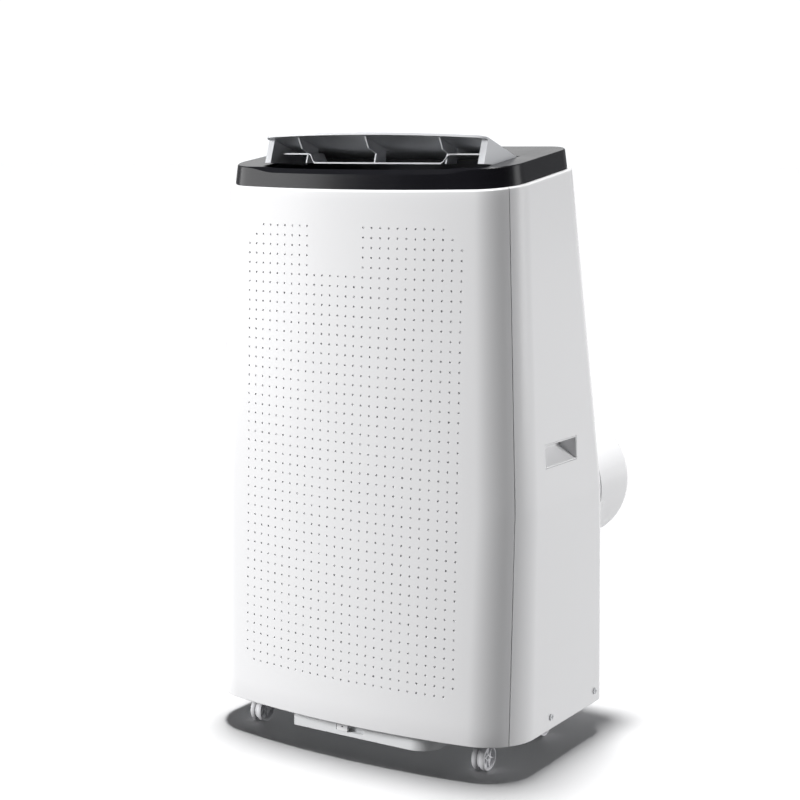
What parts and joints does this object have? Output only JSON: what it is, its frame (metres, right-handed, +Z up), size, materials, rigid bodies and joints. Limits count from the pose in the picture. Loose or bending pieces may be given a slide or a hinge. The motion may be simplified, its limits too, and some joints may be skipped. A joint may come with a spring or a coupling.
{
  "type": "portable air conditioner",
  "caption": "Wheeled upright cabinet with a dark top deck, a flip-up outlet louvre, side grip pockets and a rear collar for an exhaust hose.",
  "frame": {"origin": "on the floor, under the centre of the machine's bounding box, hose collar included", "axes": "+Z up; -Y towards the front that holds the dot grid; +X to the right of someone who faces the front"},
  "size_m": [0.4368, 0.3368, 0.7283],
  "materials": {
    "gloss_white": "glossy white moulded plastic",
    "gloss_dark_grey": "glossy near-black plastic",
    "light_grey": "satin light grey plastic",
    "outlet_dark": "dark satin plastic",
    "panel_black": "polished black plastic",
    "display_black": "polished dark display window",
    "button_grey": "satin dark grey plastic",
    "circuit_board": "green glass-fibre board",
    "base_grey": "satin off-white plastic",
    "filter_white": "satin white plastic grille with mesh",
    "rubber_black": "matt black rubber",
    "castor_white": "satin light grey plastic",
    "wheel_grey": "satin light grey plastic",
    "steel": "plated steel",
    "painted_black": "black painted steel can",
    "aluminium_fins": "bare aluminium fins",
    "copper": "bare copper pipe",
    "fan_grey": "matt dark grey plastic",
    "motor_grey": "zinc-plated motor can",
    "duct_foam": "white expanded foam"
  },
  "bodies": {
    "cabinet": {"front_panel": "gloss_white", "rear_cabinet": "gloss_white", "handle_cup_left": "gloss_white", "handle_cup_right": "gloss_white", "top_deck": "gloss_dark_grey", "outlet_duct": "outlet_dark", "control_panel": "panel_black", "display_window": "display_black", "control_board": "circuit_board", "base_pan": "base_grey", "drain_sump": "base_grey", "cord_gland": "rubber_black", "electrical_box": "steel", "side_screw_left_front": "steel", "side_screw_left_rear": "steel", "side_screw_right_front": "steel", "side_screw_right_rear": "steel", "compressor": "painted_black", "evaporator": "aluminium_fins", "condenser": "aluminium_fins", "suction_pipe": "copper", "discharge_pipe": "copper", "upper_blower_scroll": "fan_grey", "lower_blower_scroll": "fan_grey", "louvre_stepper": "motor_grey", "upper_fan_motor": "motor_grey", "lower_fan_motor": "motor_grey", "splash_motor": "motor_grey", "mid_partition": "duct_foam", "exhaust_duct": "duct_foam"},
    "louvre": {"louvre_flap": "light_grey", "louvre_vanes": "light_grey", "louvre_pin_left": "steel", "louvre_pin_right": "steel"},
    "front_left_castor": {"front_left_castor_yoke": "castor_white", "front_left_castor_axle": "steel"},
    "front_left_castor_wheels": {"front_left_castor_wheel": "wheel_grey"},
    "front_right_castor": {"front_right_castor_yoke": "castor_white", "front_right_castor_axle": "steel"},
    "front_right_castor_wheels": {"front_right_castor_wheel": "wheel_grey"},
    "rear_left_castor": {"rear_left_castor_yoke": "castor_white", "rear_left_castor_axle": "steel"},
    "rear_left_castor_wheels": {"rear_left_castor_wheel": "wheel_grey"},
    "rear_right_castor": {"rear_right_castor_yoke": "castor_white", "rear_right_castor_axle": "steel"},
    "rear_right_castor_wheels": {"rear_right_castor_wheel": "wheel_grey"},
    "cross_flow_drum": {"upper_blower_wheel": "fan_grey"},
    "exhaust_impeller": {"lower_blower_wheel": "fan_grey"},
    "slinger": {"splash_wheel": "fan_grey"},
    "hose_collar": {"hose_connector": "gloss_white"},
    "upper_filter_panel": {"upper_filter": "filter_white"},
    "lower_filter_panel": {"lower_filter": "filter_white"},
    "sump_plug": {"drain_plug": "gloss_white"},
    "rear_drain": {"rear_drain_cap": "rubber_black"},
    "timer_key": {"button_timer": "button_grey"},
    "mode_key": {"button_mode": "button_grey"},
    "swing_key": {"button_swing": "button_grey"},
    "fan_key": {"button_fan": "button_grey"},
    "set_key": {"button_set": "button_grey"},
    "power_key": {"button_power": "button_grey"}
  },
  "joints": [
    {"name": "louvre_swing", "type": "hinge", "parent": "cabinet", "child": "louvre", "pos_m": [0, -0.0464, 0.69478], "axis": [1, 0, 0], "range_deg": [-30, 26.5]},
    {"name": "front_left_castor_swivel", "type": "hinge", "parent": "cabinet", "child": "front_left_castor", "pos_m": [-0.1596, -0.0984, 0.0437], "axis": [0, 0, 1], "continuous": true},
    {"name": "front_left_castor_roll", "type": "hinge", "parent": "front_left_castor", "child": "front_left_castor_wheels", "pos_m": [-0.1596, -0.1084, 0.015], "axis": [1, 0, 0], "continuous": true},
    {"name": "front_right_castor_swivel", "type": "hinge", "parent": "cabinet", "child": "front_right_castor", "pos_m": [0.1596, -0.0984, 0.0437], "axis": [0, 0, 1], "continuous": true},
    {"name": "front_right_castor_roll", "type": "hinge", "parent": "front_right_castor", "child": "front_right_castor_wheels", "pos_m": [0.1596, -0.1084, 0.015], "axis": [1, 0, 0], "continuous": true},
    {"name": "rear_left_castor_swivel", "type": "hinge", "parent": "cabinet", "child": "rear_left_castor", "pos_m": [-0.1596, 0.0396, 0.0437], "axis": [0, 0, 1], "continuous": true},
    {"name": "rear_left_castor_roll", "type": "hinge", "parent": "rear_left_castor", "child": "rear_left_castor_wheels", "pos_m": [-0.1596, 0.0296, 0.015], "axis": [1, 0, 0], "continuous": true},
    {"name": "rear_right_castor_swivel", "type": "hinge", "parent": "cabinet", "child": "rear_right_castor", "pos_m": [0.1596, 0.0396, 0.0437], "axis": [0, 0, 1], "continuous": true},
    {"name": "rear_right_castor_roll", "type": "hinge", "parent": "rear_right_castor", "child": "rear_right_castor_wheels", "pos_m": [0.1596, 0.0296, 0.015], "axis": [1, 0, 0], "continuous": true},
    {"name": "cross_flow_spin", "type": "hinge", "parent": "cabinet", "child": "cross_flow_drum", "pos_m": [0.12, -0.0804, 0.5125], "axis": [1, 0, 0], "continuous": true},
    {"name": "exhaust_impeller_spin", "type": "hinge", "parent": "cabinet", "child": "exhaust_impeller", "pos_m": [0.09, -0.0834, 0.183], "axis": [0, 1, 0], "continuous": true},
    {"name": "slinger_spin", "type": "hinge", "parent": "cabinet", "child": "slinger", "pos_m": [-0.025, 0.0276, 0.093], "axis": [0, 1, 0], "continuous": true},
    {"name": "hose_collar_twist", "type": "hinge", "parent": "cabinet", "child": "hose_collar", "pos_m": [0.133, 0.0904, 0.302], "axis": [0, 1, 0], "range_deg": [0, 20]},
    {"name": "upper_filter_slide", "type": "slide", "parent": "cabinet", "child": "upper_filter_panel", "axis": [0, 0.9914, 0.1309], "range_m": [0, 0.03]},
    {"name": "lower_filter_slide", "type": "slide", "parent": "cabinet", "child": "lower_filter_panel", "axis": [0, 1, 0], "range_m": [0, 0.03]},
    {"name": "sump_plug_slide", "type": "slide", "parent": "cabinet", "child": "sump_plug", "axis": [0, -1, 0], "range_m": [0, 0.02]},
    {"name": "rear_drain_slide", "type": "slide", "parent": "cabinet", "child": "rear_drain", "axis": [0, 1, 0], "range_m": [0, 0.02]},
    {"name": "timer_key_press", "type": "slide", "parent": "cabinet", "child": "timer_key", "axis": [0, 0.1445, -0.9895], "range_m": [0, 0.001], "stiffness_N_per_m": 400, "springref_m": -0.0005},
    {"name": "mode_key_press", "type": "slide", "parent": "cabinet", "child": "mode_key", "axis": [0, 0.1445, -0.9895], "range_m": [0, 0.001], "stiffness_N_per_m": 400, "springref_m": -0.0005},
    {"name": "swing_key_press", "type": "slide", "parent": "cabinet", "child": "swing_key", "axis": [0, 0.1445, -0.9895], "range_m": [0, 0.001], "stiffness_N_per_m": 400, "springref_m": -0.0005},
    {"name": "fan_key_press", "type": "slide", "parent": "cabinet", "child": "fan_key", "axis": [0, 0.1445, -0.9895], "range_m": [0, 0.001], "stiffness_N_per_m": 400, "springref_m": -0.0005},
    {"name": "set_key_press", "type": "slide", "parent": "cabinet", "child": "set_key", "axis": [0, 0.1445, -0.9895], "range_m": [0, 0.001], "stiffness_N_per_m": 400, "springref_m": -0.0005},
    {"name": "power_key_press", "type": "slide", "parent": "cabinet", "child": "power_key", "axis": [0, 0.1445, -0.9895], "range_m": [0, 0.001], "stiffness_N_per_m": 400, "springref_m": -0.0005}
  ]
}
